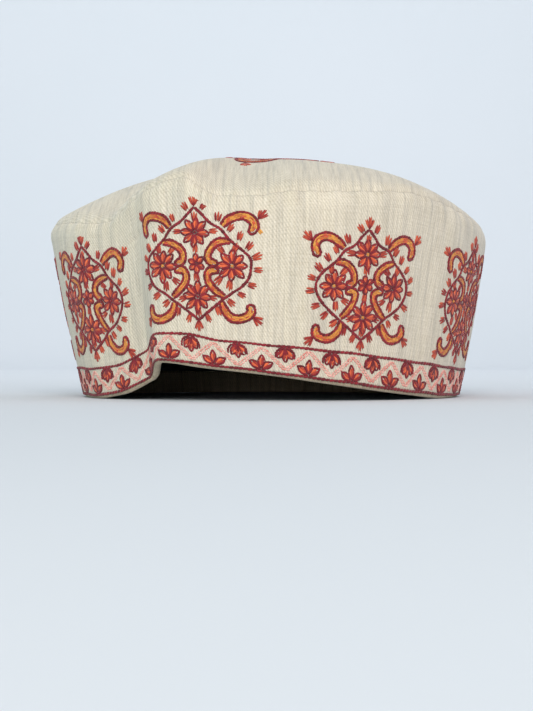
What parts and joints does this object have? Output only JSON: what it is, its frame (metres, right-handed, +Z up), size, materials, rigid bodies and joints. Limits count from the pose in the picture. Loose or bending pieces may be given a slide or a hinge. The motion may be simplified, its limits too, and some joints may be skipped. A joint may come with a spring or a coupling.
{
  "type": "kashmiri cap",
  "caption": "Soft pillbox cap of embroidered wool with a flared side band, a domed crown, a turned rim and a dark lining; it is worn on the head and rests on its rim.",
  "frame": {"origin": "middle of the cap's footprint, on the surface that it rests on", "axes": "+Z up through the crown, -Y towards the front with the ridge, +X to the right as seen from the front"},
  "size_m": [0.1928, 0.217, 0.1039],
  "materials": {
    "wool": "oatmeal wool twill with embroidery",
    "hem": "beige wool facing",
    "lining": "dark plain-woven lining"
  },
  "bodies": {
    "root": {"side_band": "wool", "crown": "wool", "rim_hem": "hem", "lining": "lining"}
  },
  "joints": []
}
